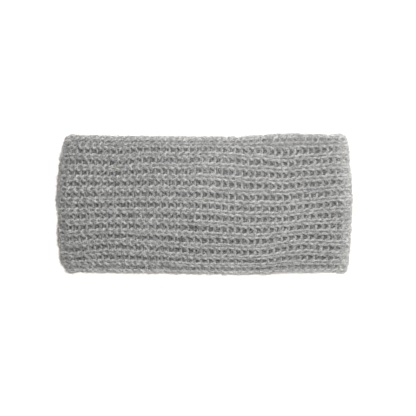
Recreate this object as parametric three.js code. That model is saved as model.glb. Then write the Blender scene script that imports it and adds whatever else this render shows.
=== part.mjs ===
// Ear warmer headband: one band of thick ribbed knit, lying flat as a closed loop.
//
// The band is knitted sideways, so its ribs run round the head and the two long edges are
// the rims that sit above the forehead and on the neck. Ribbed knit is a corrugated sheet:
// where the outside has a ridge the inside has a groove, and the wall is equally thick
// everywhere.
//
// X runs from fold to fold, Y from the lower rim to the upper rim, Z up from the surface
// that the band lies on. The origin is the middle of the underside. Lengths are in mm.

import * as THREE from 'three';

// Driving dimensions

const FLAT_WIDTH = 229;          // fold to fold with the loop lying flat
const BAND_HEIGHT = 108.6;       // rim to rim
const WALL = 6;                  // from a ridge outside to a ridge inside
const GROOVE_SPACING = 8.4;      // from one groove to the next, with a ridge between
const GROOVE_DEPTH = 1.3;        // from a ridge down to the groove beside it
const RIDGE_TOP = 4.6;           // width of a ridge's flat top
const GROOVE_FLOOR = 1.4;        // width of a groove's flat bottom
const LOWER_HEM = 4.7;           // from the lower rim to the first groove
const UPPER_HEM = 9;             // least height left above the last groove
const RIM_ROUND = 2.2;           // how far the wall rounds over at each rim
const RIM_SHOULDER = 0.6;        // share of the wall's half that is left at the rim's shoulders
const RIM_BLUNT = 0.25;          // share of the rounding that lies between shoulder and edge
const HEAD_GAP = 5.2;            // open space between the two layers in the middle
const FOLD_GAP = 7;              // the same beside each fold, where the bend springs open
const FOLD_EASE = 34;            // length over which the one gap turns into the other
const UPPER_CORNER = 11;         // radius of the upper corners, seen from above
const LOWER_CORNER = 11;         // radius of the lower corners, seen from above
const SIDE_DRIFT = 4.5;          // most that a fold is drawn in along its length
const RIM_DRIFT = 2.8;           // most that a rim is drawn in along its length
const RIB_DRIFT = 5;             // most that a rib of the upper layer strays downwards
const DENT_DEPTH = 0.6;          // depth of the deepest dent in the upper layer
const DENT_FADE = 2;             // how steeply a dent fades out towards its edge
const KNIT_GREY = 0x9a9996;      // heather grey wool

// How finely the loop is divided

const RUN_STEPS = 14;            // sections along each flat run
const FOLD_STEPS = 8;            // sections round each fold

// How far each fold is drawn in, from the lower rim (up 0) to the upper rim (up 1),
// as shares of SIDE_DRIFT
const sideTable = [
  { up: 0.00, left: 0.87, right: 0.67 },
  { up: 0.12, left: 0.69, right: 0.67 },
  { up: 0.27, left: 0.24, right: 0.38 },
  { up: 0.38, left: 0.36, right: 0.19 },
  { up: 0.53, left: 0.00, right: 0.00 },
  { up: 0.66, left: 0.27, right: 0.20 },
  { up: 0.80, left: 0.60, right: 0.51 },
  { up: 0.88, left: 0.95, right: 0.60 },
  { up: 1.00, left: 1.00, right: 0.62 },
];

// How far each rim is drawn in, from the left fold (across 0) to the right fold
// (across 1), as shares of RIM_DRIFT
const rimTable = [
  { across: 0.00, lower: 0.65, upper: 0.45 },
  { across: 0.06, lower: 0.60, upper: 0.45 },
  { across: 0.14, lower: 0.45, upper: 0.68 },
  { across: 0.30, lower: 0.42, upper: 0.62 },
  { across: 0.45, lower: 0.14, upper: 0.80 },
  { across: 0.64, lower: 0.00, upper: 0.84 },
  { across: 0.72, lower: 0.10, upper: 0.30 },
  { across: 0.83, lower: 0.55, upper: 0.00 },
  { across: 1.00, lower: 0.75, upper: 0.25 },
];

// How far the ribs of the upper layer stray downwards near the lower rim, half way up
// and near the upper rim, as shares of RIB_DRIFT
const ribTable = [
  { across: 0.00, low: 0.65, middle: 0.45, high: 0.20 },
  { across: 0.16, low: 0.05, middle: 0.20, high: 0.25 },
  { across: 0.30, low: 0.35, middle: 0.20, high: -0.20 },
  { across: 0.40, low: 0.50, middle: 0.15, high: -0.20 },
  { across: 0.50, low: 0.75, middle: 0.20, high: -0.40 },
  { across: 0.60, low: 0.70, middle: 0.50, high: -0.25 },
  { across: 0.70, low: 0.85, middle: 0.80, high: 0.20 },
  { across: 0.80, low: 0.50, middle: 0.95, high: 0.75 },
  { across: 0.88, low: 0.30, middle: 0.60, high: 0.45 },
  { across: 1.00, low: 0.55, middle: 0.20, high: 0.00 },
];
const RIB_LOW = 0.2;             // heights on the band that the three columns hold for
const RIB_MIDDLE = 0.52;
const RIB_HIGH = 0.86;

// Soft hollows in the upper layer: middle, length and breadth as shares of FLAT_WIDTH
// and BAND_HEIGHT, depth as a share of DENT_DEPTH, and the turn of the length in degrees
const dentTable = [
  { across: 0.37, up: 0.26, length: 0.13, breadth: 0.12, depth: 1.00, turn: 52 },
  { across: 0.24, up: 0.55, length: 0.16, breadth: 0.26, depth: 0.70, turn: 75 },
  { across: 0.60, up: 0.16, length: 0.18, breadth: 0.14, depth: 0.60, turn: -12 },
  { across: 0.86, up: 0.64, length: 0.09, breadth: 0.30, depth: 0.75, turn: 80 },
  { across: 0.52, up: 0.86, length: 0.22, breadth: 0.12, depth: 0.45, turn: 4 },
];

// Values worked out from the dimensions

const grooveCount = 1 + Math.floor((BAND_HEIGHT - LOWER_HEM - UPPER_HEM) / GROOVE_SPACING);
const foldRadius = (FOLD_GAP + WALL) / 2;    // from the fold's centre to the middle of the wall
const foldCentre = WALL / 2 + foldRadius;    // height of the fold's centre

function smoothStep(t) {
  const s = THREE.MathUtils.clamp(t, 0, 1);
  return s * s * (3 - 2 * s);
}

// The value of a table's column at a place between its rows, eased from row to row
function readTable(table, key, column, place) {
  const last = table.length - 1;
  const next = table.findIndex((row, i) => i > 0 && (place <= row[key] || i === last));
  const from = table[next - 1];
  const to = table[next];
  const t = smoothStep((place - from[key]) / (to[key] - from[key]));
  return THREE.MathUtils.lerp(from[column], to[column], t);
}

// How far a corner's arc lies inside the straight edge, at a distance from the rim
function cornerInset(radius, fromRim) {
  const reach = THREE.MathUtils.clamp(radius - fromRim, 0, radius);
  return radius - Math.sqrt(radius * radius - reach * reach);
}

// Distance from the middle to the outermost point of a fold, at a height on the band
function foldReach(side, y) {
  const up = THREE.MathUtils.clamp(y / BAND_HEIGHT + 0.5, 0, 1);
  const drift = SIDE_DRIFT * readTable(sideTable, 'up', side, up);
  const upper = cornerInset(UPPER_CORNER, BAND_HEIGHT / 2 - y);
  const lower = cornerInset(LOWER_CORNER, BAND_HEIGHT / 2 + y);
  return FLAT_WIDTH / 2 - drift - upper - lower;
}

// How far a rib of the upper layer lies below its even place
function ribDrop(up, across) {
  const stations = [
    { up: 0, drop: 0 },
    { up: RIB_LOW, drop: readTable(ribTable, 'across', 'low', across) },
    { up: RIB_MIDDLE, drop: readTable(ribTable, 'across', 'middle', across) },
    { up: RIB_HIGH, drop: readTable(ribTable, 'across', 'high', across) },
    { up: 1, drop: 0 },
  ];
  return RIB_DRIFT * readTable(stations, 'up', 'drop', up);
}

// Height on the band of a line that runs along the ribs. Both layers share the outline,
// and the stray of the ribs dies out round the folds, so that the lower layer is even.
function ribLine(up, section) {
  const lower = -BAND_HEIGHT / 2 + RIM_DRIFT * readTable(rimTable, 'across', 'lower', section.across);
  const upper = BAND_HEIGHT / 2 - RIM_DRIFT * readTable(rimTable, 'across', 'upper', section.across);
  return THREE.MathUtils.lerp(lower, upper, up) - section.stray * ribDrop(up, section.across);
}

// Depth of the dents below the upper layer's even surface
function dentDepth(x, y) {
  let depth = 0;
  for (const dent of dentTable) {
    const turn = THREE.MathUtils.degToRad(dent.turn);
    const dx = x - (dent.across - 0.5) * FLAT_WIDTH;
    const dy = y - (dent.up - 0.5) * BAND_HEIGHT;
    const along = (dx * Math.cos(turn) + dy * Math.sin(turn)) / (dent.length * FLAT_WIDTH);
    const beside = (dy * Math.cos(turn) - dx * Math.sin(turn)) / (dent.breadth * BAND_HEIGHT);
    depth += dent.depth * DENT_DEPTH * Math.exp(-DENT_FADE * (along * along + beside * beside));
  }
  return Math.min(depth, DENT_DEPTH);
}

// Height of the middle of the upper layer's wall: open at the folds, sunk between them
function upperLayer(x, y, leftEnd, rightEnd) {
  const fromFold = Math.min(x - leftEnd, rightEnd - x);
  const sunk = FOLD_GAP - HEAD_GAP + dentDepth(x, y);
  return foldCentre + foldRadius - sunk * smoothStep(fromFold / FOLD_EASE);
}

// A point of the wall: section says where on the loop, up where between the rims, and
// depth how far outside the middle of the wall
function wallPoint(section, up, depth) {
  const y = ribLine(up, section);
  const leftEnd = WALL / 2 + foldRadius - foldReach('left', y);
  const rightEnd = foldReach('right', y) - WALL / 2 - foldRadius;
  const reach = foldRadius + depth;
  if (section.run === 'fold') {
    const end = section.side === 'right' ? rightEnd : leftEnd;
    const x = end + reach * Math.cos(section.angle);
    return new THREE.Vector3(x, y, foldCentre + reach * Math.sin(section.angle));
  }
  const x = THREE.MathUtils.lerp(leftEnd, rightEnd, section.across);
  if (section.run === 'lower') {
    return new THREE.Vector3(x, y, foldCentre - reach);
  }
  return new THREE.Vector3(x, y, upperLayer(x, y, leftEnd, rightEnd) + depth);
}

// The stations round the loop: lower run to the right, right fold, upper run back to the
// left, left fold. stray says how much of the ribs' stray shows there.
function loopSections() {
  const sections = [];
  for (let i = 0; i < RUN_STEPS; i += 1) {
    sections.push({ run: 'lower', across: i / RUN_STEPS, stray: 0 });
  }
  for (let i = 0; i < FOLD_STEPS; i += 1) {
    const angle = Math.PI * (i / FOLD_STEPS - 0.5);
    const stray = smoothStep(i / FOLD_STEPS);
    sections.push({ run: 'fold', side: 'right', across: 1, angle, stray });
  }
  for (let i = 0; i < RUN_STEPS; i += 1) {
    sections.push({ run: 'upper', across: 1 - i / RUN_STEPS, stray: 1 });
  }
  for (let i = 0; i < FOLD_STEPS; i += 1) {
    const angle = Math.PI * (i / FOLD_STEPS + 0.5);
    const stray = 1 - smoothStep(i / FOLD_STEPS);
    sections.push({ run: 'fold', side: 'left', across: 0, angle, stray });
  }
  return sections;
}

// The wall's outline from rim to rim and back, as heights above the lower rim and depths:
// ridges and grooves outside, their reverse inside, and a rounded rim at each end
function wallOutline() {
  const crest = WALL / 2;
  const floor = crest - GROOVE_DEPTH;
  const slope = (GROOVE_SPACING - RIDGE_TOP - GROOVE_FLOOR) / 2;
  const face = [{ y: RIM_ROUND, outside: crest, inside: -floor }];
  for (let i = 0; i < grooveCount; i += 1) {
    const groove = LOWER_HEM + i * GROOVE_SPACING;
    const left = groove - GROOVE_FLOOR / 2;
    const right = groove + GROOVE_FLOOR / 2;
    face.push({ y: left - slope, outside: crest, inside: -floor });
    face.push({ y: left, outside: floor, inside: -crest });
    face.push({ y: right, outside: floor, inside: -crest });
    face.push({ y: right + slope, outside: crest, inside: -floor });
  }
  face.push({ y: BAND_HEIGHT - RIM_ROUND, outside: crest, inside: -floor });
  // The edge of the wall, from its round shoulder outside to the one inside
  const middle = (crest - floor) / 2;
  const shoulder = {
    out: middle + (crest - middle) * RIM_SHOULDER,
    back: middle - (floor + middle) * RIM_SHOULDER,
  };
  const inset = RIM_ROUND * RIM_BLUNT;
  const upperRim = [
    { y: BAND_HEIGHT - inset, depth: shoulder.out },
    { y: BAND_HEIGHT, depth: middle },
    { y: BAND_HEIGHT - inset, depth: shoulder.back },
  ];
  const lowerRim = [
    { y: inset, depth: shoulder.back },
    { y: 0, depth: middle },
    { y: inset, depth: shoulder.out },
  ];
  const outside = face.map((point) => ({ y: point.y, depth: point.outside }));
  const inside = face.map((point) => ({ y: point.y, depth: point.inside })).reverse();
  return [...outside, ...upperRim, ...inside, ...lowerRim];
}

// The whole band: the wall's outline carried round the loop and closed on itself
function knitBand() {
  const sections = loopSections();
  const outline = wallOutline();
  const positions = [];
  for (const section of sections) {
    for (const point of outline) {
      positions.push(...wallPoint(section, point.y / BAND_HEIGHT, point.depth).toArray());
    }
  }
  const index = [];
  const ring = outline.length;
  for (let s = 0; s < sections.length; s += 1) {
    const here = s * ring;
    const next = ((s + 1) % sections.length) * ring;
    for (let p = 0; p < ring; p += 1) {
      const q = (p + 1) % ring;
      index.push(here + p, here + q, next + q);
      index.push(here + p, next + q, next + p);
    }
  }
  const geometry = new THREE.BufferGeometry();
  geometry.setAttribute('position', new THREE.Float32BufferAttribute(positions, 3));
  geometry.setIndex(index);
  geometry.computeVertexNormals();
  return geometry;
}

const wool = new THREE.MeshStandardMaterial({ color: KNIT_GREY, roughness: 0.95, metalness: 0 });

const band = new THREE.Mesh(knitBand(), wool);
band.name = 'knit_band';

const headband = new THREE.Group();
headband.add(band);

export default headband;
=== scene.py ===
# %% [markdown]
# # A ribbed ear warmer, stitch by stitch
#
# The object is one band of thick ribbed knit, lying flat as a closed loop. Almost all that
# the eye reads is knitted structure: rows of stitches, the grooves between them and the
# soft yarn. A bump pattern on a smooth shell would look flat at the rims and the folds,
# where the knit turns away from the eye. So the yarn itself is modelled here: one path for
# each row of stitches, a round tube along it, a felted ground behind it and loose fibres.

# %% The frame
import math

import bpy
import numpy as np
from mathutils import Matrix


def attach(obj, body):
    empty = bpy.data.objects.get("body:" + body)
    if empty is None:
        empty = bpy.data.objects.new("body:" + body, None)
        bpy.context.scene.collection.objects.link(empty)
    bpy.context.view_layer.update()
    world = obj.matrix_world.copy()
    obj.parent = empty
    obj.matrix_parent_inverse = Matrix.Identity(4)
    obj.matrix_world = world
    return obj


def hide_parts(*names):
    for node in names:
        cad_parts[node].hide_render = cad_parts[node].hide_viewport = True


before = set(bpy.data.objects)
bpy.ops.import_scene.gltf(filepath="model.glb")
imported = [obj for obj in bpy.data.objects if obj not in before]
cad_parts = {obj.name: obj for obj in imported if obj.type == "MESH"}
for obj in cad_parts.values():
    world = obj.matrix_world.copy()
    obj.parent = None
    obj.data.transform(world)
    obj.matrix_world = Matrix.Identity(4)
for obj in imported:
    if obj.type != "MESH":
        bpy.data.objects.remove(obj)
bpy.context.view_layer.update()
MM = 0.001
scene = bpy.context.scene

# %% [markdown]
# ## Camera, floor and light
#
# The band is seen from straight above, so the camera looks down with a long lens. A wide
# lens would show the folds from the side and bend the outline. The lens, the distance and
# the width of the picture belong together: any two of them give the third.

# %% The camera
PICTURE_WIDTH = 320.0        # mm of the scene across the picture, at the height of the band
LENS = 150.0                 # mm, on a sensor 36 mm wide
SENSOR = 36.0
AIM = (2.8, -2.8)            # mm from the band's middle to the middle of the picture
AIM_HEIGHT = 14.0            # mm above the floor, where the picture width holds
CLIP = (0.05, 50)            # m, the nearest and the farthest that is drawn


def add_camera():
    data = bpy.data.cameras.new("above")
    data.lens = LENS
    data.sensor_width = SENSOR
    data.clip_start, data.clip_end = CLIP
    camera = bpy.data.objects.new("above", data)
    distance = PICTURE_WIDTH * LENS / SENSOR
    camera.location = (AIM[0] * MM, AIM[1] * MM, (AIM_HEIGHT + distance) * MM)
    scene.collection.objects.link(camera)
    scene.camera = camera
    print(f"camera {distance:.0f} mm above the band")


add_camera()

# %% [markdown]
# The floor is a pale matt sheet that runs far past the picture, so that low views see it
# up to the horizon. It also glows softly, as a light table does, so that it shows white right
# up to the band, and the contact shadow stays faint. The glow is a little warm, which the
# folds and the rims pick up.
#
# The sky is even, and four soft lamps give the knit its form. A small one close above shapes
# the stitches. Large ones beyond the right and the upper edge of the picture light the right
# fold and the upper rim, and a weak one lights the lower rim. The left end has none of its
# own, so it stays a little darker.

# %% Colours and nodes


def linear(code):
    """An sRGB hex colour as the linear values that the shaders use. The numbers are those of
    the sRGB curve."""
    parts = [int(code[i:i + 2], 16) / 255 for i in (1, 3, 5)]
    return tuple(c / 12.92 if c <= 0.04045 else ((c + 0.055) / 1.055) ** 2.4 for c in parts) + (1.0,)


def add_node(tree, kind, settings=None, **links):
    """Adds a node. settings are its properties; links give each input a value or a socket. An
    input goes by its name, with _ for a space, or by its number after a _."""
    node = tree.nodes.new(kind)
    for name, value in (settings or {}).items():
        setattr(node, name, value)
    for name, value in links.items():
        key = int(name[1:]) if name[0] == "_" else name.replace("_", " ")
        if isinstance(value, bpy.types.NodeSocket):
            tree.links.new(value, node.inputs[key])
        else:
            node.inputs[key].default_value = value
    return node


def new_material(name):
    material = bpy.data.materials.new(name)
    material.use_nodes = True
    tree = material.node_tree
    tree.nodes.clear()
    return material, tree


print("mid grey #808080 is", round(linear("#808080")[0], 3), "in linear values")

# %% The floor and the lights
FLOOR_SIZE = 8000.0          # mm
FLOOR_COLOR = linear("#f4f4f3")
FLOOR_ROUGHNESS = 0.9
FLOOR_SHINE = 0.1
GLOW_COLOR = linear("#fff4ee")
FLOOR_GLOW = 0.92
SKY_COLOR = linear("#ffffff")
SKY_LIGHT = 0.5
LAMPS = (
    # name, place in mm, side in mm, watts
    ("near lamp", (48, 50, 260), 180, 0.8),
    ("right lamp", (900, 250, 300), 600, 9.0),
    ("upper lamp", (100, 900, 300), 600, 6.5),
    ("lower lamp", (0, -900, 300), 600, 2.0),
)


def opal_acrylic():
    # Matt opal acrylic lit from below, as on a light table. It is white and even, and gives
    # the eye nothing to look at but the band.
    material, tree = new_material("opal_acrylic")
    shader = add_node(
        tree, "ShaderNodeBsdfPrincipled", Base_Color=FLOOR_COLOR, Roughness=FLOOR_ROUGHNESS,
        Specular_IOR_Level=FLOOR_SHINE, Emission_Color=GLOW_COLOR, Emission_Strength=FLOOR_GLOW)
    add_node(tree, "ShaderNodeOutputMaterial", Surface=shader.outputs[0])
    return material


def add_floor():
    half = FLOOR_SIZE * MM / 2
    mesh = bpy.data.meshes.new("floor")
    corners = [(-half, -half, 0), (half, -half, 0), (half, half, 0), (-half, half, 0)]
    mesh.from_pydata(corners, [], [(0, 1, 2, 3)])
    mesh.materials.append(opal_acrylic())
    floor = bpy.data.objects.new("floor", mesh)
    scene.collection.objects.link(floor)


def add_lights():
    for name, place, side, watts in LAMPS:
        data = bpy.data.lights.new(name, "AREA")
        data.size = side * MM
        data.energy = watts
        lamp = bpy.data.objects.new(name, data)
        lamp.location = [c * MM for c in place]
        lamp.visible_camera = False
        scene.collection.objects.link(lamp)
        lamp.rotation_euler = (-lamp.location).to_track_quat("-Z", "Y").to_euler()
    world = bpy.data.worlds.new("studio")
    world.use_nodes = True
    background = world.node_tree.nodes["Background"]
    background.inputs["Color"].default_value = SKY_COLOR
    background.inputs["Strength"].default_value = SKY_LIGHT
    scene.world = world
    scene.view_settings.view_transform = "Standard"


add_floor()
add_lights()
print(len(LAMPS), "lamps and a sky of strength", SKY_LIGHT)

# %% [markdown]
# ## How the band lies
#
# A ribbed band that lies flat is two layers joined by two round folds. Its edges aren't
# straight: the folds are drawn in at the corners, the rims sag a little, and the ribs of
# the upper layer wander. Such a shape could be pushed into place with a lattice, after the
# stitches are made. Here one function says where each place on the knit lies in space, so
# that every piece finds its own place and all of them agree.
#
# The few tables that it reads are the same values that shape the solid in the frame. Only
# the corners differ a little from each other here.

# %% Sizes and tables of the laid band
FLAT_WIDTH = 229.0           # mm from fold to fold, as are all sizes of the band
BAND_HEIGHT = 108.6          # from rim to rim
WALL = 6.0                   # through the knit, from ridge to ridge
HEAD_GAP = 5.2               # between the two layers
FOLD_GAP = 7.0               # the same at the folds
FOLD_EASE = 34.0             # from a fold to where the narrower gap starts
CORNERS = {"left": (11.0, 13.0), "right": (9.0, 9.0)}    # radius of the upper and the lower corner
SIDE_DRIFT = 4.5             # how far a fold is drawn in at most
MEAN_DRIFT = 0.85            # how far both folds together are drawn in on average, as a share of it
RIM_DRIFT = 2.8              # how far a rim sags at most
RIB_DRIFT = 5.0              # how far the ribs wander
DENT_DEPTH = 0.6             # how deep the shallow dents of the upper layer are at most
DENT_EDGE = 2                # how sharply they end

# In the first rows, up and across run from 0 to 1 over the band. The other rows are shares of
# the drift at those places, and in RIBS each of them starts with its own height.
SIDES = {
    "up": (0.00, 0.12, 0.27, 0.38, 0.53, 0.66, 0.80, 0.88, 1.00),
    "left": (0.87, 0.69, 0.24, 0.36, 0.00, 0.27, 0.60, 0.95, 1.00),
    "right": (0.67, 0.67, 0.38, 0.19, 0.00, 0.20, 0.51, 0.60, 0.62),
}
RIMS = {
    "across": (0.00, 0.06, 0.14, 0.30, 0.45, 0.64, 0.72, 0.83, 1.00),
    "lower": (0.65, 0.60, 0.45, 0.42, 0.14, 0.00, 0.10, 0.55, 0.75),
    "upper": (0.45, 0.45, 0.68, 0.62, 0.80, 0.84, 0.30, 0.00, 0.25),
}
RIBS = {
    "across": (0.00, 0.16, 0.30, 0.40, 0.50, 0.60, 0.70, 0.80, 0.88, 1.00),
    0.20: (0.65, 0.05, 0.35, 0.50, 0.75, 0.70, 0.85, 0.50, 0.30, 0.55),
    0.52: (0.45, 0.20, 0.20, 0.15, 0.20, 0.50, 0.80, 0.95, 0.60, 0.20),
    0.86: (0.20, 0.25, -0.20, -0.20, -0.40, -0.25, 0.20, 0.75, 0.45, 0.00),
}
# The middle of each dent, its size as a share of the band's, its depth as a share of
# DENT_DEPTH, and its turn in degrees
DENTS = {
    "across": (0.37, 0.24, 0.60, 0.86, 0.52),
    "up": (0.26, 0.55, 0.16, 0.64, 0.86),
    "length": (0.13, 0.16, 0.18, 0.09, 0.22),
    "breadth": (0.12, 0.26, 0.14, 0.30, 0.12),
    "depth": (1.00, 0.70, 0.60, 0.75, 0.45),
    "turn": (52, 75, -12, 80, 4),
}

# %% From a place on the knit to a point in space
fold_radius = (FOLD_GAP + WALL) / 2
fold_centre = WALL / 2 + fold_radius
run_length = FLAT_WIDTH - 2 * (WALL / 2 + fold_radius) - SIDE_DRIFT * MEAN_DRIFT
arc_length = math.pi * fold_radius
loop_length = 2 * (run_length + arc_length)


def smooth_step(t):
    """From 0 to 1 without a kink at either end."""
    t = np.clip(t, 0, 1)
    return t * t * (3 - 2 * t)


def read_table(table, key, column, place):
    """The value of a column at a place, eased from each entry to the next."""
    keys, values = np.array(table[key]), np.array(table[column])
    i = np.clip(np.searchsorted(keys, place, side="right") - 1, 0, len(keys) - 2)
    t = smooth_step((place - keys[i]) / (keys[i + 1] - keys[i]))
    return values[i] + (values[i + 1] - values[i]) * t


def corner_inset(radius, from_rim):
    """How much a rounded corner takes from the width, so far from the rim."""
    reach = np.clip(radius - from_rim, 0, radius)
    return radius - np.sqrt(radius * radius - reach * reach)


def fold_reach(side, y):
    """How far a fold reaches out from the middle of the band."""
    drift = SIDE_DRIFT * read_table(SIDES, "up", side, np.clip(y / BAND_HEIGHT + 0.5, 0, 1))
    upper = corner_inset(CORNERS[side][0], BAND_HEIGHT / 2 - y)
    lower = corner_inset(CORNERS[side][1], BAND_HEIGHT / 2 + y)
    return FLAT_WIDTH / 2 - drift - upper - lower


def rib_drop(up, across):
    """How far the ribs of the upper layer lie below their even places."""
    heights = [0.0] + [key for key in RIBS if key != "across"] + [1.0]
    drops = [read_table(RIBS, "across", key, across) for key in heights[1:-1]]
    drops = [np.zeros_like(across)] + drops + [np.zeros_like(across)]
    total = np.zeros_like(across)
    for low, high, from_drop, to_drop in zip(heights, heights[1:], drops, drops[1:]):
        inside = (up >= low) & (up <= high)
        t = smooth_step((up - low) / (high - low))
        total = np.where(inside, from_drop + (to_drop - from_drop) * t, total)
    return RIB_DRIFT * total


def dent_depth(x, y):
    """How deep the upper layer is dented there."""
    depth = np.zeros_like(x)
    for across, up, length, breadth, deep, turn in zip(*DENTS.values()):
        cos, sin = math.cos(math.radians(turn)), math.sin(math.radians(turn))
        dx, dy = x - (across - 0.5) * FLAT_WIDTH, y - (up - 0.5) * BAND_HEIGHT
        along = (dx * cos + dy * sin) / (length * FLAT_WIDTH)
        beside = (dy * cos - dx * sin) / (breadth * BAND_HEIGHT)
        depth += deep * DENT_DEPTH * np.exp(-DENT_EDGE * (along ** 2 + beside ** 2))
    return np.minimum(depth, DENT_DEPTH)


def wall_point(along, height, depth):
    """Points of the wall in mm: along the loop from the left end of the upper layer, height
    above the lower rim, and depth outside the middle of the wall."""
    # Which of the four stretches of the loop: upper layer, right fold, lower layer, left fold
    along = np.mod(along, loop_length)
    on_upper = along < run_length
    on_right = (along >= run_length) & (along < run_length + arc_length)
    on_lower = (along >= run_length + arc_length) & (along < 2 * run_length + arc_length)
    right_turn = (along - run_length) / arc_length
    left_turn = (along - 2 * run_length - arc_length) / arc_length
    across = np.where(on_upper, along / run_length, np.where(on_right, 1.0, 0.0))
    across = np.where(on_lower, 1 - (along - run_length - arc_length) / run_length, across)

    # Only the upper layer's ribs stray, and each fold eases that out
    stray = np.where(on_upper, 1.0, 0.0)
    stray = np.where(on_right, 1 - smooth_step(right_turn), stray)
    stray = np.where(~(on_upper | on_right | on_lower), smooth_step(left_turn), stray)

    # The outline, with its sagging rims and drawn-in folds
    up = height / BAND_HEIGHT
    lower = -BAND_HEIGHT / 2 + RIM_DRIFT * read_table(RIMS, "across", "lower", across)
    upper = BAND_HEIGHT / 2 - RIM_DRIFT * read_table(RIMS, "across", "upper", across)
    y = lower + (upper - lower) * up - stray * rib_drop(up, across)
    left_end = WALL / 2 + fold_radius - fold_reach("left", y)
    right_end = fold_reach("right", y) - WALL / 2 - fold_radius

    # The two layers between the folds, then the round folds
    x = left_end + (right_end - left_end) * across
    from_fold = np.minimum(x - left_end, right_end - x)
    sunk = (FOLD_GAP - HEAD_GAP + dent_depth(x, y)) * smooth_step(from_fold / FOLD_EASE)
    z = np.where(on_upper, fold_centre + fold_radius - sunk + depth, fold_centre - fold_radius - depth)
    turn = np.where(on_right, right_turn, left_turn)
    angle = np.where(on_right, math.pi / 2 - math.pi * turn, -math.pi / 2 - math.pi * turn)
    in_fold = ~(on_upper | on_lower)
    end = np.where(on_right, right_end, left_end)
    x = np.where(in_fold, end + (fold_radius + depth) * np.cos(angle), x)
    z = np.where(in_fold, fold_centre + (fold_radius + depth) * np.sin(angle), z)
    return np.stack([x, y, z], axis=-1)


print(f"the middle of the wall runs {loop_length:.1f} mm round the loop")

# %% [markdown]
# ## Rows and columns of stitches
#
# The knit grows along the loop. Its rows, called courses, stand one behind the other round
# the band, and each one runs across it from rim to rim. A course has one stitch in each
# groove, one in each ridge and one at each rim. The ridges take more room than the grooves,
# because the front stitches push outwards. An even grid would be simpler, but its grooves
# would come out as wide as its ridges.

# %% Where the stitches lie
COURSES = 88                  # rows of stitches round the loop
GROOVE_SPACING = 8.4          # mm, as are all sizes here
LOWER_HEM = 4.7               # from the lower rim to the middle of the first groove
GROOVES = 12
RIM_COLUMN = 2.6              # from a rim to the middle of its edge column
RIDGE_SHARE = 0.6             # how much of the way to the groove beside it a ridge takes

grooves = LOWER_HEM + GROOVE_SPACING * np.arange(GROOVES)
ridges = grooves + GROOVE_SPACING / 2
columns = np.sort(np.concatenate([grooves, ridges, [RIM_COLUMN, BAND_HEIGHT - RIM_COLUMN]]))
faces_front = np.array([1] + [-1, 1] * GROOVES + [1])    # 1 on a ridge or a rim, -1 in a groove
is_rim = np.zeros(len(columns))
is_rim[[0, -1]] = 1
ridge_side = np.where(faces_front[:-1] > 0, RIDGE_SHARE, 1 - RIDGE_SHARE)
borders = columns[:-1] + (columns[1:] - columns[:-1]) * ridge_side
borders = np.concatenate([[2 * columns[0] - borders[0]], borders, [2 * columns[-1] - borders[-1]]])
course_pitch = loop_length / COURSES
print(len(columns), "columns,", COURSES, "courses of", round(course_pitch, 2), "mm")

# %% [markdown]
# ## One stitch
#
# A stitch is a loop of yarn pulled through the stitch before it. Its foot crosses over from
# the neighbour, a leg rises, the head bends round, and the other leg comes down. Seen from
# the front the two legs make a V that opens the way the knit grows. In a rib the columns
# of stitches face the front and the back in turn: the front ones stand up as ridges, the
# back ones sink into the grooves, where only their heads show, as short bars.
#
# The path is a handful of sines of one angle that runs from foot to foot. That is easier
# to tune than a table of points: each number below is one thing that can be seen. On the
# left of this band the ribs lie closed, and on the right they are drawn open. So four of
# the numbers are pairs, and each course takes a value between the two.

# %% The numbers that shape a stitch
YARN_RADIUS = 1.02            # mm, as are all lengths here
STITCH_HEIGHT = 3.0           # half the length of a stitch, foot to head
LEG_SPREAD = 0.1              # how far the legs stand apart from an even wave
RIDGE_RISE = 1.85             # height of the legs above the middle of the wall
RIDGE_HEAD = 0.3              # how far the heads of a ridge lie below it
LIFT_START, LIFT_END = 0.05, 0.55    # where on a leg the yarn starts to come up, and is up
LEAN = math.radians(20)       # how much sooner a leg dives under at its head than at its foot

# Where the ribs are closed, and where they are drawn open
LEG_CROWD = (0.65, 0.4)       # how much of the height the head and the foot take from the legs
LEG_SLANT = (1.15, 0.9)       # how much wider the V is at its open end
FOOT_SINK = (0.8, 0.5)        # how far the feet lie below the middle of the wall
GROOVE_HEAD = (0.5, 0.0)      # the same for the heads in a groove
GROOVE_CROWD = -0.2           # what takes the place of LEG_CROWD there, so that heads lie as bars
OPEN_FROM, OPEN_TO = 0.3, 0.62    # share of the width where they start and end to open

# %% How far the ribs are open, and how the legs come up


def open_share(along):
    """How far the ribs are drawn open there: 0 on the left of the band, 1 on the right."""
    along = np.mod(along + arc_length / 2, loop_length) - arc_length / 2
    on_upper = along < run_length + arc_length / 2
    across = np.where(on_upper, along, 2 * run_length + arc_length - along) / run_length
    return smooth_step((across - OPEN_FROM) / (OPEN_TO - OPEN_FROM))


def leg_lift(t):
    """How far the yarn has come up: 0 at the foot and the head, 1 along a leg."""
    from_foot = math.pi - np.abs(t - math.pi)
    leg = np.sin(np.clip(from_foot + LEAN * np.sin(from_foot), 0, math.pi)) ** 2
    return smooth_step((leg - LIFT_START) / (LIFT_END - LIFT_START))


print(f"open by {open_share(0.0):.0%} at the left, {open_share(run_length / 2):.0%} in the middle")
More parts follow.
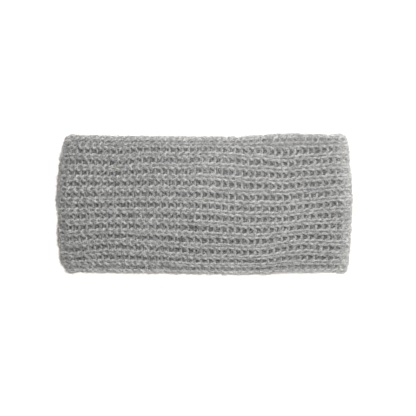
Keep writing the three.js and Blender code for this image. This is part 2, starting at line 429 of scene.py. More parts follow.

# %% [markdown]
# ## Folds, rims and slack places
#
# Real knit doesn't keep to its rule. The ribs flatten where the band is drawn over a fold,
# and they get shallower towards a rim, where the edge column leans over. Two creases and
# two loose loops lie slack. The outermost lines of the folds and the rims get a painted
# highlight, a paler colour for the light that catches the edges there. All that could be
# painted or sculpted by hand. A few small functions of the place do it here, and each of
# them can be read and tuned alone.

# %% The numbers for folds, rims and slack places
FOLD_FLATTEN = 0.85           # how flat the ribs get in a fold
FOLD_SWELL = 0.2              # how much thicker the yarn lies in a fold
FOLD_REACH = (0.5, 0.8)       # share of the left and right fold's length where the ribs flatten
RIM_TILT = math.radians(34)   # how far an edge column leans over the rim
RIM_CALM = 0.8                # how much less the V slants in the edge columns
RIM_DROP = 0.2                # how far the edge columns lie below the ridges
EDGE_CALM = 0.65              # how much shallower the ribs get towards a rim
EDGE_REACH = 14.0             # mm from the rim where that starts
# Painted highlight: how far it reaches from the outermost lines of the folds and the rims
EDGE_LIGHT_FOLD = (5.0, 8.0)        # mm from the outermost line of the left and the right fold
EDGE_LIGHT_RIM = 3.2                # mm from a rim
SNAGS = (
    # place along the loop and up the band, length, breadth and sink in mm, turn in degrees:
    # two slack creases in the lower middle and two loose loops beside the lower rim
    (92, 41, 11.0, 3.6, 2.6, -60),
    (84, 26, 11.0, 3.6, 3.0, 65),
    (70, 6.5, 6.5, 3.2, 3.6, -4),
    (54, 4.0, 7.0, 3.0, 3.4, -8),
)
SNAG_EDGE = 4                 # how sharply a slack place ends

# %% How near a place is to a fold, a rim or a slack place


def from_folds(along):
    """How far along the loop a place lies from the outermost line of each fold, in mm."""
    from_right = np.abs(np.mod(along, loop_length) - run_length - arc_length / 2)
    from_left = np.abs(np.mod(along + arc_length / 2 + loop_length / 2, loop_length) - loop_length / 2)
    return from_left, from_right


def fold_share(along):
    """How far into a fold a place on the loop lies: 1 at the outermost line, 0 on the flat."""
    from_left, from_right = from_folds(along)
    nearer = np.minimum(from_left / FOLD_REACH[0], from_right / FOLD_REACH[1])
    return 1 - smooth_step(nearer / arc_length)


def edge_light_share(along, height):
    """How much painted highlight the edges get there: 1 on the outermost lines of folds and rims."""
    from_left, from_right = from_folds(along)
    from_fold = np.minimum(from_left / EDGE_LIGHT_FOLD[0], from_right / EDGE_LIGHT_FOLD[1])
    from_rim = np.minimum(height, BAND_HEIGHT - height) / EDGE_LIGHT_RIM
    return 1 - smooth_step(np.minimum(from_fold, from_rim))


def near_rim(height):
    """How near a rim a height lies: 1 at the rim, 0 from EDGE_REACH on."""
    return 1 - smooth_step(np.minimum(height, BAND_HEIGHT - height) / EDGE_REACH)


def snag_sink(along, height):
    """How deep the knit has sunk in at the slack places, in mm."""
    sink = np.zeros_like(along)
    for place, up, length, breadth, deep, turn in SNAGS:
        cos, sin = math.cos(math.radians(turn)), math.sin(math.radians(turn))
        dx, dy = along - place, height - up
        reach = ((dx * cos + dy * sin) / length) ** 2 + ((dy * cos - dx * sin) / breadth) ** 2
        sink += deep * np.exp(-SNAG_EDGE * reach)
    return sink


print(len(SNAGS), "slack places")

# %% [markdown]
# ## The courses of the whole band
#
# No two stitches are quite alike. One stitch copied over and over would be quicker, but the
# eye finds such a repeat at once. So each one gets its own small stray from seeded random
# numbers, and neighbours also share a slower one, because a tug on one stitch moves those
# beside it. At a rim the yarn turns back into the next course, so the whole band is one long
# path, to and fro.

# %% How much the stitches stray
# Shares of the stitch's own height, slant, rise and thickness, and mm along and across
JITTER = {"height": 0.06, "slant": 0.13, "rise": 0.12, "along": 0.1, "across": 0.1, "thickness": 0.08}
WANDER = {"along": 0.25, "across": 0.12}
WANDER_COURSES, WANDER_COLUMNS = 5, 3    # stitches that share one of the slower strays
rng = np.random.default_rng(7)


def per_stitch(amount):
    """A stray of its own for each stitch of the band."""
    return amount * rng.standard_normal((COURSES, len(columns)))


def slow_wander(amount):
    """A stray that neighbouring stitches share, from random values every few stitches."""
    knots = rng.standard_normal((COURSES // WANDER_COURSES, len(columns) // WANDER_COLUMNS + 1))
    marks = np.arange(len(knots)) * COURSES / len(knots)
    rows = [np.interp(np.arange(COURSES), marks, column, period=COURSES) for column in knots.T]
    places = np.linspace(0, len(rows) - 1, len(columns))
    return amount * np.array([np.interp(places, np.arange(len(rows)), line) for line in np.array(rows).T])


def along_course(values, place):
    """Values given at the middle of each stitch, eased to every point of the course."""
    return np.interp(place, np.arange(len(columns)) + 0.5, values)


print("each stitch strays in", ", ".join(JITTER))

# %% One course
SAMPLES = 16                  # points on the path of one stitch


def over_the_rim(column, lateral, depth):
    """Height and depth of a course's points, with the edge columns leaning over the rim."""
    tilt = RIM_TILT * np.sign(columns[column] - BAND_HEIGHT / 2) * is_rim[column]
    height = columns[column] + lateral * np.cos(tilt) + depth * np.sin(tilt)
    return height, depth * np.cos(tilt) - lateral * np.sin(tilt) - RIM_DROP * is_rim[column]


def course_points(course, noise):
    """One course in the knit's own coordinates: along the loop, height, depth and radius."""
    t = np.tile(np.arange(SAMPLES) * 2 * math.pi / SAMPLES, len(columns))
    column = np.repeat(np.arange(len(columns)), SAMPLES)
    place = column + t / (2 * math.pi)
    vary = {name: along_course(values[course], place) for name, values in noise.items()}
    front, rim = faces_front[column], is_rim[column]
    leg_crowd, leg_slant, foot_sink, groove_head = (
        np.interp(open_share(course * course_pitch), (0, 1), pair)
        for pair in (LEG_CROWD, LEG_SLANT, FOOT_SINK, GROOVE_HEAD))

    # Along the loop, from the foot to the head and back
    leg_crowd = np.where(front > 0, leg_crowd, GROOVE_CROWD)
    climb = (STITCH_HEIGHT - leg_crowd) * np.cos(t) + leg_crowd * np.cos(3 * t)
    along = course * course_pitch - climb * (1 + vary["height"]) + vary["along"]

    # Across the band, from this stitch to the next
    half = np.where(t < math.pi, columns[column] - borders[column], borders[column + 1] - columns[column])
    slant = leg_slant * (1 + vary["slant"]) * (1 - RIM_CALM * rim)
    lateral = half * (t / math.pi - 1) + slant * np.sin(2 * t) - LEG_SPREAD * np.sin(t)

    # Through the wall, with the ribs flatter in a fold and near a rim
    flat = FOLD_FLATTEN * fold_share(along)
    rise = RIDGE_RISE * (1 + vary["rise"])
    lift = leg_lift(t)
    head_sink = np.where(front > 0, RIDGE_HEAD, groove_head)
    sink = foot_sink * np.cos(t / 2) ** 2 + head_sink * np.sin(t / 2) ** 2
    depth = front * rise * lift - sink * (1 - rim) * (1 - lift)
    depth = depth * (1 - flat) + flat * rise
    depth = depth * (1 - EDGE_CALM * near_rim(columns[column]) * (1 - rim))

    height, depth = over_the_rim(column, lateral, depth)
    height = height + vary["across"]
    depth -= snag_sink(along, height)
    radius = YARN_RADIUS * (1 + vary["thickness"]) * (1 + FOLD_SWELL * fold_share(along))
    return np.stack([along, height, depth, radius], axis=1)


print("a course has", SAMPLES * len(columns), "points")

# %% All courses as one yarn
TURN_SAMPLES = 4              # points on the short arc at a rim
TURN_BULGE = 0.2              # how far that arc stands out


def turn_points(end, start, side):
    """The short arc at a rim, by which the yarn passes from one course to the next."""
    t = (np.arange(TURN_SAMPLES) + 1)[:, None] / (TURN_SAMPLES + 1)
    arc = end + (start - end) * smooth_step(t)
    arc[:, 1] += side * TURN_BULGE * np.sin(math.pi * t[:, 0])
    return arc


def band_yarn():
    """The whole yarn, to and fro across the band. For each course it gives the points, their
    radius, their depth outside the middle of the wall, and how much painted highlight the
    wool gets there."""
    noise = {name: per_stitch(amount) for name, amount in JITTER.items()}
    for name, amount in WANDER.items():
        noise[name] += slow_wander(amount)
    flat_courses = [course_points(course, noise) for course in range(COURSES)]
    flat_courses = [c[::-1] if i % 2 else c for i, c in enumerate(flat_courses)]
    made = []
    for i, course in enumerate(flat_courses):
        start = flat_courses[(i + 1) % COURSES][0].copy()
        start[0] += loop_length * (i == COURSES - 1)
        turn = turn_points(course[-1], start, -1 if i % 2 else 1)
        along, height, depth, radius = np.concatenate([course, turn, [start]]).T
        made.append((wall_point(along, height, depth), radius, depth, edge_light_share(along, height)))
    return made


courses = band_yarn()
points = np.concatenate([course[0] for course in courses])
print("the yarn runs from", points.min(0).round(1), "to", points.max(0).round(1), "mm")

# %% [markdown]
# ## The yarn
#
# The path becomes a tube with Geometry Nodes: a mesh of bare edges turns into curves, each
# point's radius scales the round section, and the curve carries it along. A curve object
# with a bevel would give the same round. The nodes also store where each point lies round
# the yarn and along it, and the finish needs that for its twisted streaks.

# %% A node group with named inputs


def new_group(name, inputs):
    """A node group with named inputs, each given by its label, kind and first value."""
    group = bpy.data.node_groups.new(name, "GeometryNodeTree")
    group.interface.new_socket("Geometry", in_out="INPUT", socket_type="NodeSocketGeometry")
    for label, kind, value in inputs:
        socket = group.interface.new_socket(label, in_out="INPUT", socket_type=f"NodeSocket{kind}")
        if value is not None:
            socket.default_value = value
    group.interface.new_socket("Geometry", in_out="OUTPUT", socket_type="NodeSocketGeometry")
    start = group.nodes.new("NodeGroupInput")
    end = group.nodes.new("NodeGroupOutput")
    return group, start, end


def end_group(group, end, geometry, material):
    """Makes all instances real, dresses them in the material and ends the group."""
    real = add_node(group, "GeometryNodeRealizeInstances", _0=geometry)
    dressed = add_node(group, "GeometryNodeSetMaterial", Geometry=real.outputs[0], Material=material)
    group.links.new(dressed.outputs[0], end.inputs[0])


# %% The tube along the path


def yarn_group():
    group, start, end = new_group("yarn tube", [
        ("Sides", "Int", 8),
        ("Twist Length", "Float", 0.012),
        ("Yarn", "Material", None),
    ])
    strand = add_node(group, "GeometryNodeMeshToCurve", _0=start.outputs["Geometry"])
    ring = add_node(group, "GeometryNodeCurvePrimitiveCircle", Resolution=start.outputs["Sides"], Radius=1.0)
    share = add_node(group, "GeometryNodeSplineParameter")
    ring = add_node(
        group, "GeometryNodeStoreNamedAttribute", {"data_type": "FLOAT", "domain": "POINT"},
        Geometry=ring.outputs[0], Name="around", Value=share.outputs["Factor"])
    radius = add_node(group, "GeometryNodeInputNamedAttribute", Name="yarn_radius")
    tube = add_node(
        group, "GeometryNodeCurveToMesh", Curve=strand.outputs[0], Profile_Curve=ring.outputs[0],
        Fill_Caps=True, Scale=radius.outputs["Attribute"])

    # The lay of the fibres: round the yarn and along it, turned by the twist
    around = add_node(group, "GeometryNodeInputNamedAttribute", Name="around")
    along = add_node(group, "GeometryNodeInputNamedAttribute", Name="along")
    turns = add_node(
        group, "ShaderNodeMath", {"operation": "DIVIDE"},
        _0=along.outputs["Attribute"], _1=start.outputs["Twist Length"])
    turns = add_node(
        group, "ShaderNodeMath", {"operation": "ADD"}, _0=turns.outputs[0], _1=around.outputs["Attribute"])
    angle = add_node(group, "ShaderNodeMath", {"operation": "MULTIPLY"}, _0=turns.outputs[0], _1=2 * math.pi)
    sides = []
    for operation in ("COSINE", "SINE"):
        wave = add_node(group, "ShaderNodeMath", {"operation": operation}, _0=angle.outputs[0])
        sides.append(add_node(
            group, "ShaderNodeMath", {"operation": "MULTIPLY"},
            _0=wave.outputs[0], _1=radius.outputs["Attribute"]))
    lay = add_node(
        group, "ShaderNodeCombineXYZ",
        X=sides[0].outputs[0], Y=sides[1].outputs[0], Z=along.outputs["Attribute"])
    tube = add_node(
        group, "GeometryNodeStoreNamedAttribute", {"data_type": "FLOAT_VECTOR", "domain": "POINT"},
        Geometry=tube.outputs[0], Name="lay", Value=lay.outputs[0])
    smooth = add_node(group, "GeometryNodeSetShadeSmooth", _0=tube.outputs[0])
    end_group(group, end, smooth.outputs[0], start.outputs["Yarn"])
    return group


yarn_tree = yarn_group()
print("node group", yarn_tree.name, "with", len(yarn_tree.nodes), "nodes")

# %% [markdown]
# ## The wool
#
# Heather grey wool is blended before it is spun. Dark and light fibres lie side by side, so
# the yarn has streaks along its twist and cloudy stretches where one shade gathers. It is
# matt and never glints, but its fibre ends catch some light at a low angle, which the sheen
# stands for. A picture of knit laid on the band would be quicker, but it wouldn't line up
# with the modelled stitches. So the blend is noise that follows the yarn itself. The yarn,
# the mat between the stitches and the loose fibres share their shader and a few functions.
#
# Two values ride on the mesh. One is the depth of the yarn, by which shade is painted into
# the grooves, where little light comes back out. The other paints a highlight on the
# outermost lines of the folds and the rims, a paler colour for the light that catches them.

# %% What all the wool shares
DARK_FIBRE = linear("#5c5c5b")
LIGHT_FIBRE = linear("#c0c0be")
# The mat's colours are darker than the yarn's as painted shade, for the depth it lies at
MAT_DARK_SHADED = linear("#5b5b5a")
MAT_LIGHT_SHADED = linear("#939391")
WOOL_ROUGHNESS = 0.9         # typical of wool, as are the next three
WOOL_SHINE = 0.2
SHEEN = 0.25
SHEEN_ROUGHNESS = 0.5
NOISE_ROUGHNESS = 0.6        # how much of the finer noise there is in the coarser
# Painted shade: the grooves are darkened in the colour, by the depth of the yarn
DEEP = (-1.8, 0.3)           # mm of depth, from the full shade of a groove to none
DEEP_SHADE = 0.55            # what a groove leaves of the colour
EDGE_LIGHT_GAIN = 0.35             # how much paler the painted highlight makes the wool


def wool_shader(tree, color, bump=None):
    shader = add_node(
        tree, "ShaderNodeBsdfPrincipled", Base_Color=color, Roughness=WOOL_ROUGHNESS,
        Specular_IOR_Level=WOOL_SHINE, Sheen_Weight=SHEEN, Sheen_Roughness=SHEEN_ROUGHNESS)
    if bump:
        tree.links.new(bump, shader.inputs["Normal"])
    add_node(tree, "ShaderNodeOutputMaterial", Surface=shader.outputs[0])


def noise_share(tree, vector, blobs):
    """Noise from 0 to 1. blobs says how many there are in a mm, how fine their detail is, and
    which values of the noise become 0 and 1."""
    per_mm, detail, low, high = blobs
    noise = add_node(
        tree, "ShaderNodeTexNoise", Vector=vector, Scale=per_mm / MM, Detail=detail,
        Roughness=NOISE_ROUGHNESS)
    spread = add_node(tree, "ShaderNodeMapRange", Value=noise.outputs["Fac"], From_Min=low, From_Max=high)
    return spread.outputs[0]


def painted_shade_and_highlight(tree, color):
    """Paints shade into a colour towards the bottom of the grooves, by the depth of the yarn
    there, and paints a highlight, a paler colour, on the outermost lines of the folds and the rims."""
    # Painted shade: the deeper the yarn lies in a groove, the darker its colour
    depth = add_node(tree, "ShaderNodeAttribute", {"attribute_name": "depth"})
    shade = add_node(
        tree, "ShaderNodeMapRange", {"interpolation_type": "SMOOTHSTEP"}, Value=depth.outputs["Fac"],
        From_Min=DEEP[0] * MM, From_Max=DEEP[1] * MM, To_Min=DEEP_SHADE, To_Max=1.0)
    # Painted highlight: a paler colour on the outermost lines of the folds and the rims
    painted_edge_light = add_node(tree, "ShaderNodeAttribute", {"attribute_name": "painted_edge_light"})
    lift = add_node(
        tree, "ShaderNodeMath", {"operation": "MULTIPLY_ADD"}, _0=painted_edge_light.outputs["Fac"], _1=EDGE_LIGHT_GAIN, _2=1.0)
    share = add_node(
        tree, "ShaderNodeMath", {"operation": "MULTIPLY"}, _0=shade.outputs[0], _1=lift.outputs[0])
    scaled = add_node(tree, "ShaderNodeVectorMath", {"operation": "SCALE"}, _0=color, Scale=share.outputs[0])
    return scaled.outputs[0]


# The gain printed here is the painted highlight on the edges, and the groove's share is painted shade
print(f"a groove keeps {DEEP_SHADE:.0%} of its colour, and rubbed wool gains {EDGE_LIGHT_GAIN:.0%}")

# %% Heather wool yarn
# Blobs a mm, detail, and the noise that becomes 0 and 1. Real fibres are about 0.03 mm thick,
# which is too fine to show, so the streaks are drawn as coarse as a tuft of them.
STREAKS = (1.3, 2, 0.33, 0.67)
STREAK_DRAW = 0.22           # how much slower the streaks change along the yarn than round it
CLOUDS = (0.3, 1, 0.3, 0.7)
CLOUD_SHARE = 0.35           # how much of the blend follows the clouds
TUFTS = (0.9, 2, 0.35, 0.65)
TUFT_HEIGHT = 0.5            # mm
TUFT_STRENGTH = 0.8


def heather_wool_yarn():
    # The streaks make the eye read twisted yarn, the clouds make it read blended wool, and
    # the tufts break up the smooth round of the tube
    material, tree = new_material("heather_wool_yarn")
    lay = add_node(tree, "ShaderNodeAttribute", {"attribute_name": "lay"})
    drawn = add_node(tree, "ShaderNodeMapping", Vector=lay.outputs["Vector"], Scale=(1, 1, STREAK_DRAW))
    streak = noise_share(tree, drawn.outputs[0], STREAKS)
    cloud = noise_share(tree, lay.outputs["Vector"], CLOUDS)
    both = add_node(tree, "ShaderNodeMix", {"data_type": "FLOAT"}, _0=CLOUD_SHARE, _2=streak, _3=cloud)
    blend = add_node(
        tree, "ShaderNodeMix", {"data_type": "RGBA"}, _0=both.outputs[0], _6=DARK_FIBRE, _7=LIGHT_FIBRE)
    color = painted_shade_and_highlight(tree, blend.outputs[2])
    place = add_node(tree, "ShaderNodeTexCoord")
    tufts = noise_share(tree, place.outputs["Object"], TUFTS)
    bump = add_node(
        tree, "ShaderNodeBump", Strength=TUFT_STRENGTH, Distance=TUFT_HEIGHT * MM, Height=tufts)
    wool_shader(tree, color, bump.outputs[0])
    return material


yarn_wool = heather_wool_yarn()
print(yarn_wool.name, "has", len(yarn_wool.node_tree.nodes), "nodes")

# %% Felted wool
SPECKLES = (0.9, 3, 0.3, 0.7)


def felted_wool():
    # The mat between the yarns: the same blend without a direction, and darker as painted
    # shade, so that the eye reads depth between the stitches and not a second layer of yarn
    material, tree = new_material("felted_wool")
    place = add_node(tree, "ShaderNodeTexCoord")
    speckle = noise_share(tree, place.outputs["Object"], SPECKLES)
    blend = add_node(tree, "ShaderNodeMix", {"data_type": "RGBA"}, _0=speckle, _6=MAT_DARK_SHADED, _7=MAT_LIGHT_SHADED)
    wool_shader(tree, painted_shade_and_highlight(tree, blend.outputs[2]))
    return material


mat_wool = felted_wool()
print(mat_wool.name, "has", len(mat_wool.node_tree.nodes), "nodes")

# %% Loose wool fibres


def loose_fibres():
    # Single fibres, each of one shade between the dark and the light of the blend, which
    # gives the eye the fine speckle of wool
    material, tree = new_material("loose_wool_fibres")
    tone = add_node(tree, "ShaderNodeAttribute", {"attribute_name": "tone"})
    blend = add_node(
        tree, "ShaderNodeMix", {"data_type": "RGBA"},
        _0=tone.outputs["Fac"], _6=DARK_FIBRE, _7=LIGHT_FIBRE)
    wool_shader(tree, painted_shade_and_highlight(tree, blend.outputs[2]))
    return material


fibre_wool = loose_fibres()
print(fibre_wool.name, "has", len(fibre_wool.node_tree.nodes), "nodes")

# %% From a path to a plain mesh


def strand_object(name, strands, start_length):
    """Bare edges through the strands' points, one after the other. Every point carries the
    yarn's radius, the length of yarn used so far, its depth and how much painted highlight it gets."""
    places, radii, depths, painted_edge_light = (
        np.concatenate([s[i][:-1] for s in strands] + [strands[-1][i][-1:]]) for i in range(4))
    places, radii, depths = places * MM, radii * MM, depths * MM
    steps = np.linalg.norm(np.diff(places, axis=0), axis=1)
    lengths = start_length + np.concatenate([[0], np.cumsum(steps)])
    index = np.arange(len(places))
    mesh = bpy.data.meshes.new(name)
    mesh.from_pydata(places.tolist(), np.stack([index[:-1], index[1:]], axis=1).tolist(), [])
    for label, values in (("yarn_radius", radii), ("along", lengths), ("depth", depths), ("painted_edge_light", painted_edge_light)):
        attribute = mesh.attributes.new(label, "FLOAT", "POINT")
        attribute.data.foreach_set("value", values.astype(np.float32))
    source = bpy.data.objects.new(name, mesh)
    scene.collection.objects.link(source)
    return source, lengths[-1]


def run_group(name, group, source, values):
    """Runs a node group on a source mesh and gives back its result as a plain mesh object."""
    modifier = source.modifiers.new(name, "NODES")
    modifier.node_group = group
    for item in group.interface.items_tree:
        if item.item_type == "SOCKET" and item.in_out == "INPUT" and item.name in values:
            modifier[item.identifier] = values[item.name]
    bpy.context.view_layer.update()
    graph = bpy.context.evaluated_depsgraph_get()
    mesh = bpy.data.meshes.new_from_object(source.evaluated_get(graph), depsgraph=graph)
    mesh.name = name
    made = bpy.data.objects.new(name, mesh)
    scene.collection.objects.link(made)
    bpy.data.objects.remove(source)
    return made


# %% The yarn pieces
YARN_PIECES = 4
YARN_SIDES = 6
TWIST_LENGTH = 14.0          # mm of yarn for one turn of its twist
pieces = []
used = 0.0
for number in range(YARN_PIECES):
    share = courses[number * COURSES // YARN_PIECES:(number + 1) * COURSES // YARN_PIECES]
    source, used = strand_object(f"yarn_path_{number}", share, used)
    piece = run_group(f"yarn_{number}", yarn_tree, source, {
        "Sides": YARN_SIDES,
        "Twist Length": TWIST_LENGTH * MM,
        "Yarn": yarn_wool,
    })
    pieces.append(piece)
    print(piece.name, 2 * len(piece.data.polygons), "triangles")
print(f"the band takes {used:.0f} m of yarn")

# %% [markdown]
# ## The felted ground
#
# Between the stitches the eye doesn't look through a wool knit: the fibres of neighbouring
# yarns mat together there. A thin web along the middle of the wall stands for that mat. It
# waves with the ribs, so that it lies deep in a groove and higher behind a ridge, and it
# sinks in with the slack places. Thicker yarn would close the gaps too, but it would fill
# the grooves, and a flat web would show in them as a second layer.

# %% The web along the middle of the wall
GROUND_THICKNESS = 0.7       # mm, as are the next three
GROUND_RIDGE = 0.8           # height of the web under a ridge, above the middle of the wall
GROUND_GROOVE = -2.4         # and in a groove
GROUND_INSET = 2.6           # from a rim to the edge of the web
GROUND_STATIONS = 2 * COURSES    # sections of the web round the loop


def web_ring():
    """The section of the web across the band: height and depth, all round it."""
    heights = columns.copy()
    heights[0], heights[-1] = GROUND_INSET, BAND_HEIGHT - GROUND_INSET
    wave = np.interp(heights, columns, np.where(faces_front > 0, GROUND_RIDGE, GROUND_GROOVE))
    wave *= 1 - EDGE_CALM * near_rim(heights)
    outside = np.stack([heights, wave + GROUND_THICKNESS / 2], axis=1)
    inside = np.stack([heights, wave - GROUND_THICKNESS / 2], axis=1)[::-1]
    return np.concatenate([outside, inside])


def ground_object():
    ring = web_ring()
    n = len(ring)
    stations = np.arange(GROUND_STATIONS) * loop_length / GROUND_STATIONS
    along = np.repeat(stations, n)
    across = np.tile(ring[:, 0], GROUND_STATIONS)
    depth = np.tile(ring[:, 1], GROUND_STATIONS) - snag_sink(along, across)
    places = wall_point(along, across, depth) * MM
    here = (np.arange(GROUND_STATIONS) * n)[:, None] + np.arange(n)
    there = np.roll(here, -1, axis=0)
    faces = np.stack([here, there, np.roll(there, -1, axis=1), np.roll(here, -1, axis=1)], axis=-1)
    mesh = bpy.data.meshes.new("felted_ground")
    mesh.from_pydata(places.tolist(), [], faces.reshape(-1, 4).tolist())
    mesh.attributes.new("depth", "FLOAT", "POINT").data.foreach_set("value", (depth * MM).astype(np.float32))
    mesh.shade_smooth()
    mesh.materials.append(mat_wool)
    ground = bpy.data.objects.new("felted_ground", mesh)
    scene.collection.objects.link(ground)
    return ground


ground = ground_object()
pieces.append(ground)
print("ground", 2 * len(ground.data.polygons), "triangles")

# %% [markdown]
# ## The halo of fibres
#
# Wool yarn isn't a clean cord. Loose fibres stand off it, soften each edge and fill the
# small gaps. Hair could make them, but hair isn't a mesh, and it would be lost when the
# pieces are handed on. So each is a thin curved ribbon, set by Geometry Nodes at random on
# the outer faces of the yarn. Short ones make the fuzz, and longer, flatter ones lie over it.

# %% Where fibres grow
FACING_START, FACING_GAIN = 0.1, 3    # how far a face turns outwards where fibres set in, and how fast
BARE_BELOW = 0.5              # mm below the middle of the wall, where none grow any more
HALO_RIM = 5                  # mm from a rim, where they also grow on faces turned sideways
RIM_GAIN = 2                  # how fast they thin out there on the faces turned inwards


def read_values(items, name, count, kind=np.float32):
    """One property of all the points or faces of a mesh, as an array."""
    values = np.zeros(count, kind)
    items.foreach_get(name, values)
    return values


def mark_outer_faces(piece):
    """Stores on each point how much of the halo grows there: all of it on the outside."""
    mesh = piece.data
    count = len(mesh.vertices)
    place = read_values(mesh.vertices, "co", 3 * count).reshape(-1, 3) / MM
    normal = read_values(mesh.vertices, "normal", 3 * count).reshape(-1, 3)
    depth = read_values(mesh.attributes["depth"].data, "value", count)

    # Outwards is away from the middle line of the flat loop. The 0.01 mm only keeps the
    # division from failing for a point right on that line.
    half_run = FLAT_WIDTH / 2 - WALL / 2 - fold_radius
    out = place - [0, 0, fold_centre]
    out[:, 0] -= np.clip(out[:, 0], -half_run, half_run)
    out[:, 1] = 0
    distance = np.linalg.norm(out, axis=1)
    facing = (out * normal).sum(axis=1) / np.maximum(distance, 0.01)

    grow = np.clip((facing - FACING_START) * FACING_GAIN, 0, 1)
    grow *= np.clip((depth / MM + BARE_BELOW) / RIDGE_RISE, 0, 1)
    rim = np.abs(place[:, 1]) > BAND_HEIGHT / 2 - HALO_RIM
    grow = np.where(rim, np.clip(facing * RIM_GAIN + 1, 0, 1), grow)
    mark = mesh.attributes.new("halo", "FLOAT", "POINT")
    mark.data.foreach_set("value", grow.astype(np.float32))


def marked_area(mesh):
    """Area of the faces, each counted by how much of the halo grows at its first corner."""
    count = len(mesh.polygons)
    area = read_values(mesh.polygons, "area", count)
    value = read_values(mesh.attributes["halo"].data, "value", len(mesh.vertices))
    corners = read_values(mesh.loops, "vertex_index", len(mesh.loops), np.int32)
    starts = read_values(mesh.polygons, "loop_start", count, np.int32)
    return float((area * value[corners[starts]]).sum())


yarns = list(pieces[:YARN_PIECES])
for piece in yarns:
    mark_outer_faces(piece)
grown = sum(marked_area(piece.data) for piece in yarns)
print("fibres grow on", round(grown * 1e6), "square mm")

# %% One fibre
# Bow to the side as a share of the length, and how much of the lift it takes
FIBRE_BENDS = ((0.30, 0.5), (-0.25, 0.8), (0.15, 1.2), (-0.35, 1.5))
TIP_BOW = -0.4                # how far the tip swings back, as a share of the bow
BEND_STEPS = 6
TAPER = 0.5                   # below 1 the fibre keeps its width longer and narrows near the tip
TIP_MERGE = 1e-3              # share of the length within which the tip's two points become one


def fibre_template(group, start, bow, lift):
    """A ribbon one unit long that narrows to a point, bowed to one side and lifted."""
    height = add_node(group, "ShaderNodeMath", {"operation": "MULTIPLY"}, _0=start.outputs["Lift"], _1=lift)
    middle = add_node(group, "ShaderNodeCombineXYZ", X=0.5, Y=bow, Z=height.outputs[0])
    tip = add_node(group, "ShaderNodeCombineXYZ", X=1.0, Y=bow * TIP_BOW, Z=height.outputs[0])
    bend = add_node(
        group, "GeometryNodeCurveQuadraticBezier", Resolution=BEND_STEPS,
        Middle=middle.outputs[0], End=tip.outputs[0], Start=(0, 0, 0))
    bend = add_node(group, "GeometryNodeResampleCurve", Curve=bend.outputs[0], Count=start.outputs["Points"])
    along = add_node(group, "GeometryNodeSplineParameter")
    taper = add_node(group, "ShaderNodeMath", {"operation": "SUBTRACT"}, _0=1.0, _1=along.outputs["Factor"])
    shape = add_node(group, "ShaderNodeMath", {"operation": "POWER"}, _0=taper.outputs[0], _1=TAPER)
    section = add_node(group, "GeometryNodeCurvePrimitiveLine", Start=(0, 0, 0), End=(0, 1, 0))
    slim = add_node(
        group, "ShaderNodeMath", {"operation": "DIVIDE"},
        _0=start.outputs["Width"], _1=start.outputs["Length"])
    size = add_node(
        group, "ShaderNodeMath", {"operation": "MULTIPLY"}, _0=shape.outputs[0], _1=slim.outputs[0])
    ribbon = add_node(
        group, "GeometryNodeCurveToMesh", Curve=bend.outputs[0], Profile_Curve=section.outputs[0],
        Scale=size.outputs[0])
    return add_node(group, "GeometryNodeMergeByDistance", Geometry=ribbon.outputs[0], Distance=TIP_MERGE)


print(len(FIBRE_BENDS), "shapes of fibre")

# %% The halo as a node group
LENGTH_SPREAD = (0.6, 1.4)    # the shortest and the longest, as shares of the mean length
SPIN = ((-0.5, -0.3, 0), (0.5, 0.3, 6.283))    # radians, the least and the most round each axis


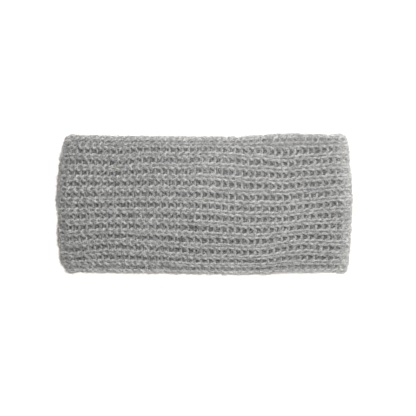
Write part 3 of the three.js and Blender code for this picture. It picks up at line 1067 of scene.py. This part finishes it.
def fibre_group():
    group, start, end = new_group("fibre halo", [
        ("Density", "Float", 1e6),
        ("Length", "Float", 0.005),
        ("Width", "Float", 0.0001),
        ("Lift", "Float", 0.3),
        ("Points", "Int", 3),
        ("Seed", "Int", 1),
        ("Fibre", "Material", None),
    ])
    seed = start.outputs["Seed"]
    halo = add_node(group, "GeometryNodeInputNamedAttribute", Name="halo")
    density = add_node(
        group, "ShaderNodeMath", {"operation": "MULTIPLY"},
        _0=halo.outputs["Attribute"], _1=start.outputs["Density"])
    roots = add_node(
        group, "GeometryNodeDistributePointsOnFaces", Mesh=start.outputs["Geometry"],
        Density=density.outputs[0], Seed=seed)
    templates = add_node(group, "GeometryNodeGeometryToInstance")
    for bow, lift in FIBRE_BENDS:
        template = fibre_template(group, start, bow, lift)
        group.links.new(template.outputs[0], templates.inputs[0])

    # A random shape, turn, length and tone for each. Vectors, numbers and whole numbers have
    # their own pair of inputs on the node, and their own output
    choice = add_node(
        group, "FunctionNodeRandomValue", {"data_type": "INT"}, Seed=seed, _4=0, _5=len(FIBRE_BENDS) - 1)
    spin = add_node(
        group, "FunctionNodeRandomValue", {"data_type": "FLOAT_VECTOR"}, Seed=seed, _0=SPIN[0], _1=SPIN[1])
    turned = add_node(
        group, "FunctionNodeRotateRotation", {"rotation_space": "LOCAL"},
        Rotation=roots.outputs["Rotation"], _1=spin.outputs[0])
    share = add_node(
        group, "FunctionNodeRandomValue", {"data_type": "FLOAT"},
        Seed=seed, _2=LENGTH_SPREAD[0], _3=LENGTH_SPREAD[1])
    size = add_node(
        group, "ShaderNodeMath", {"operation": "MULTIPLY"},
        _0=share.outputs[1], _1=start.outputs["Length"])
    fibres = add_node(
        group, "GeometryNodeInstanceOnPoints", Points=roots.outputs["Points"],
        Instance=templates.outputs[0], Pick_Instance=True, Instance_Index=choice.outputs[2],
        Rotation=turned.outputs[0], Scale=size.outputs[0])
    tone = add_node(group, "FunctionNodeRandomValue", {"data_type": "FLOAT"}, Seed=seed)
    toned = add_node(
        group, "GeometryNodeStoreNamedAttribute", {"data_type": "FLOAT", "domain": "INSTANCE"},
        Geometry=fibres.outputs[0], Name="tone", Value=tone.outputs[1])
    end_group(group, end, toned.outputs[0], start.outputs["Fibre"])
    return group


fibre_tree = fibre_group()
print("node group", fibre_tree.name, "with", len(fibre_tree.nodes), "nodes")

# %% The halo pieces
# Real fibres are about 0.03 mm thick. These are 0.2 mm wide, so that they show, and fewer.
HALOS = {
    # name: fibres in all, mean length and width in mm, how steeply they stand, points
    "fuzz": (100000, 2.4, 0.2, 0.35, 3),
    "strands": (22000, 5.5, 0.2, 0.15, 4),
}
for seed, (name, (count, length, width, lift, points)) in enumerate(HALOS.items()):
    for number, piece in enumerate(yarns):
        source = piece.copy()
        source.data = piece.data.copy()
        scene.collection.objects.link(source)
        halo = run_group(f"{name}_{number}", fibre_tree, source, {
            "Density": count / grown,
            "Length": length * MM,
            "Width": width * MM,
            "Lift": lift,
            "Points": points,
            "Seed": seed * YARN_PIECES + number,
            "Fibre": fibre_wool,
        })
        pieces.append(halo)
        print(halo.name, sum(len(f.vertices) - 2 for f in halo.data.polygons), "triangles")

# %% [markdown]
# ## The pieces and the frame
#
# Every piece lies still with the band and stands in for its one solid, which is hidden.

# %% What each piece stands for
for piece in pieces:
    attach(piece, "root")
    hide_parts("knit_band")
print(len(pieces), "pieces stand for the knitted band")
